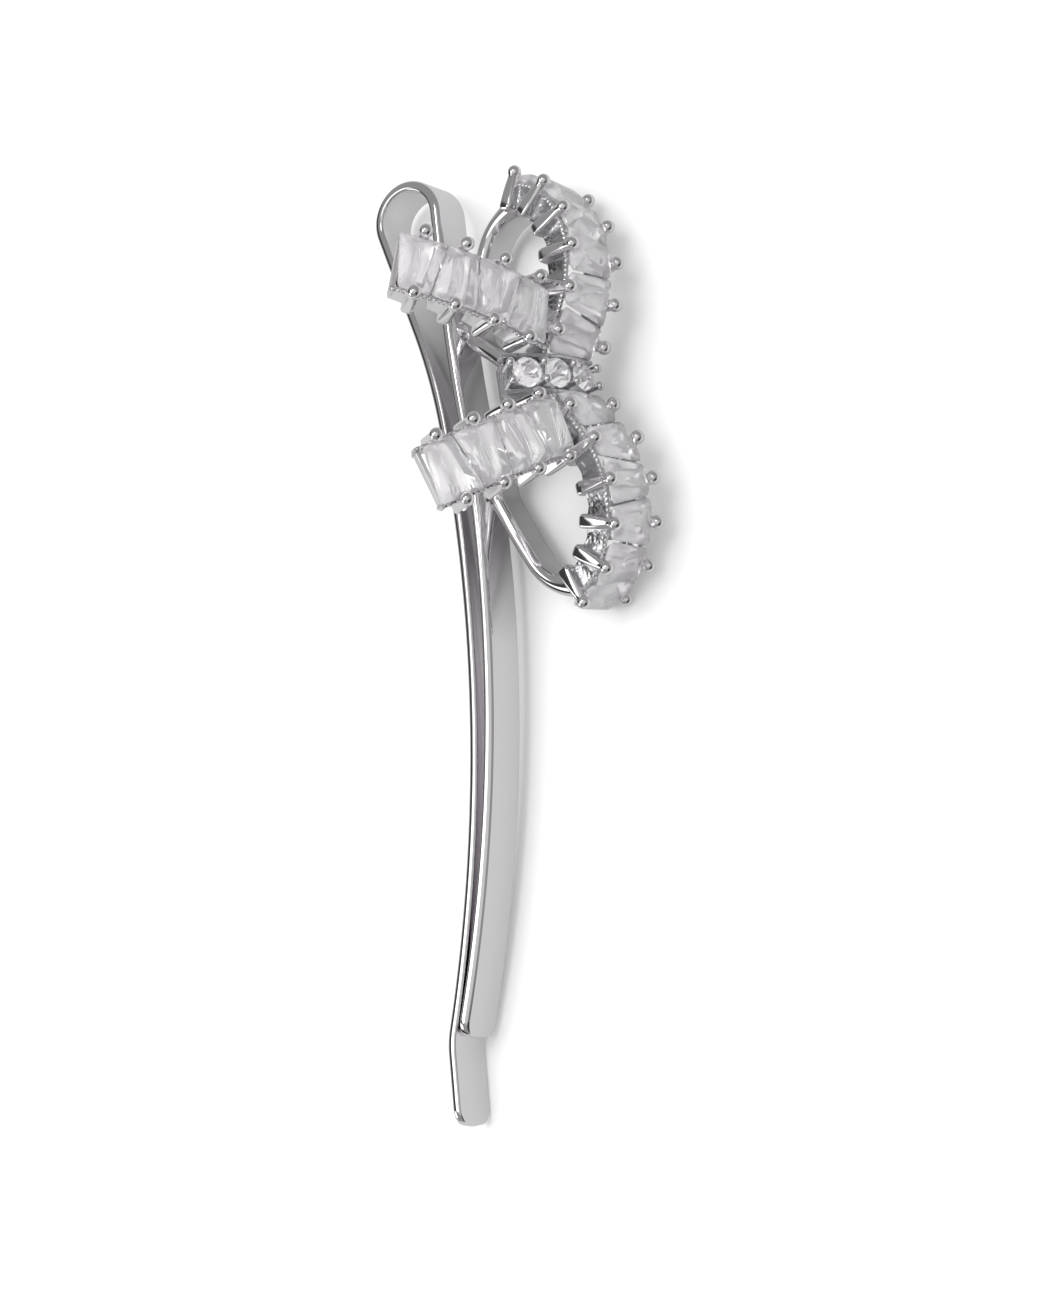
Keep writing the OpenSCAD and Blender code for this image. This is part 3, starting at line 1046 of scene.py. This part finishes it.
def with_card(tree, place, light, azimuth, height, inner, outer, level):
    """Mixes a card in where the cosine of the angle to its axis is large: all of it within the inner
    radius, nothing outside the outer one, and a smooth step between."""
    dot = add_node(tree, "VectorMath", "DOT_PRODUCT")
    dot.inputs[1].default_value = direction(azimuth, height)
    start, full = float(np.cos(np.radians(outer))), float(np.cos(np.radians(inner)))
    edge = add_node(tree, "MapRange", From_Min=start, From_Max=full)
    edge.interpolation_type = "SMOOTHSTEP"
    tree.links.new(place.outputs["Generated"], dot.inputs[0])
    tree.links.new(dot.outputs["Value"], edge.inputs["Value"])
    return mixed(tree, light, level, edge.outputs["Result"])


print("cards in the tent:", ", ".join(TENT_CARDS))

# %% [markdown]
# Two kinds of ray see something else. A ray that a matt surface has scattered, or that has just gone
# through a stone, sees mostly a soft bright sky, so that the stones glow evenly. The camera itself sees a
# plain backdrop.

# %% The tent's light
BACKDROP = 1.0
SOFT_SKY = 1.3
SOFT_SHARE = 0.75


def tent_world():
    """Light by direction alone: the cards one after another, then the soft sky, then the backdrop."""
    world = bpy.data.worlds.new("light_tent")
    world.use_nodes = True
    tree = world.node_tree
    place, path = add_node(tree, "TexCoord"), add_node(tree, "LightPath")
    light = None
    for card in TENT_CARDS.values():
        light = with_card(tree, place, light, *card)
    soft = add_node(tree, "Math", "MAXIMUM")
    soft.use_clamp = True
    share = add_node(tree, "Math", "MULTIPLY")
    share.inputs[1].default_value = SOFT_SHARE
    tree.links.new(path.outputs["Diffuse Depth"], soft.inputs[0])
    tree.links.new(path.outputs["Is Transmission Ray"], soft.inputs[1])
    tree.links.new(soft.outputs["Value"], share.inputs[0])
    light = mixed(tree, light, SOFT_SKY, share.outputs["Value"])
    light = mixed(tree, light, BACKDROP, path.outputs["Is Camera Ray"])
    tree.links.new(light, tree.nodes["Background"].inputs["Color"])
    bpy.context.scene.world = world
    return world


tent = tent_world()
print("nodes in the tent's world:", len(tent.node_tree.nodes))

# %% [markdown]
# One square lamp hangs above the slide, a little towards the back leg and the spring loop. It gives the
# soft shadows on the board and lights the milky stones. A sun would give hard shadows, and a small lamp
# nearly so. Mirrors don't show it, because the cards already draw the metal.

# %% The key lamp
KEY_PLACE = (-0.1, 0.07, 0.33)
KEY_SIZE = 0.26
KEY_POWER = 0.8


def soft_box(name, place, size, power):
    """A square lamp that looks at the slide."""
    light = bpy.data.lights.new(name, "AREA")
    light.shape = "SQUARE"
    light.size = size
    light.energy = power
    lamp = bpy.data.objects.new(name, light)
    lamp.location = place
    lamp.rotation_euler = (-Vector(place)).to_track_quat("-Z", "Y").to_euler()
    lamp.visible_glossy = False
    bpy.context.scene.collection.objects.link(lamp)


soft_box("key_box", KEY_PLACE, KEY_SIZE, KEY_POWER)
print("the key lamp is", round(Vector(KEY_PLACE).length, 2), "m from the slide")

# %% [markdown]
# The camera stands at the photograph's angle. The two halves of the bow are mirror images, so pairs of
# prong balls give the direction and the perspective. The lens is long, as it is for small jewellery, and
# all of the slide is sharp.

# %% The camera
LENS = 90.08
SENSOR = 36
CLIP_START = 0.01
CAMERA_TARGET = Vector((0.000145, -0.002267, 0.005))
CAMERA_DISTANCE = 0.19451
CAMERA_AZIMUTH = 60.36
CAMERA_ELEVATION = 62.36
CAMERA_ROLL = 72.12


def photo_camera():
    """The camera looks along an azimuth and an elevation at the target, and is rolled about that line.
    Azimuth 0 looks along +y."""
    azimuth, elevation = np.radians(CAMERA_AZIMUTH), np.radians(CAMERA_ELEVATION)
    look = Vector((
        -np.sin(azimuth) * np.cos(elevation), np.cos(azimuth) * np.cos(elevation), -np.sin(elevation)
    ))
    data = bpy.data.cameras.new("photo_camera")
    data.lens = LENS
    data.sensor_width = SENSOR
    data.clip_start = CLIP_START
    camera = bpy.data.objects.new("photo_camera", data)
    camera.location = CAMERA_TARGET - CAMERA_DISTANCE * look
    camera.rotation_mode = "QUATERNION"
    roll = Quaternion((0, 0, 1), -np.radians(CAMERA_ROLL))
    camera.rotation_quaternion = look.to_track_quat("-Z", "Y") @ roll
    bpy.context.scene.collection.objects.link(camera)
    bpy.context.scene.camera = camera


photo_camera()
bpy.context.scene.view_settings.view_transform = "Standard"
print("the camera is", CAMERA_DISTANCE, "m from its target")

# %% [markdown]
# Light runs down the narrow gap between the legs in many small steps from one polished face to the other.
# Blender's usual number of steps ends too soon there and leaves the gap black, so it is raised.

# %% Steps from mirror to mirror
MIRROR_STEPS = 12
bpy.context.scene.cycles.glossy_bounces = MIRROR_STEPS
bpy.context.scene.cycles.max_bounces = 2 * MIRROR_STEPS
print("mirror steps:", MIRROR_STEPS)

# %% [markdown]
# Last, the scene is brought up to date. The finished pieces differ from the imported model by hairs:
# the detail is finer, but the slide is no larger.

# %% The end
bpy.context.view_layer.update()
